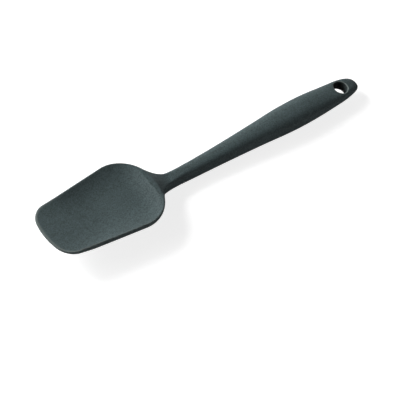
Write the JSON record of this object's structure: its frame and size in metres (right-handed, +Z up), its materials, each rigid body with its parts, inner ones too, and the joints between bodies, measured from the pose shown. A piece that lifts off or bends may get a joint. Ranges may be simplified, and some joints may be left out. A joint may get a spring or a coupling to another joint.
{
  "type": "silicone spatula",
  "caption": "Hand spatula with a shallow scoop blade, a narrow neck and a rounded handle with a hanging hole, in one silicone skin moulded round a stiff core.",
  "frame": {"origin": "centre of the bounding box's bottom face: on the table under the middle of the tool's length, with the tool lying on the flat of its underside", "axes": "+X along the tool from the blade's tip to the end of the handle, +Y across the blade, +Z up through the open side of the bowl"},
  "size_m": [0.21, 0.04, 0.0132],
  "materials": {
    "silicone": "satin moulded silicone",
    "core": "moulded nylon"
  },
  "bodies": {
    "root": {"silicone_body": "silicone", "stiff_core": "core"}
  },
  "joints": []
}
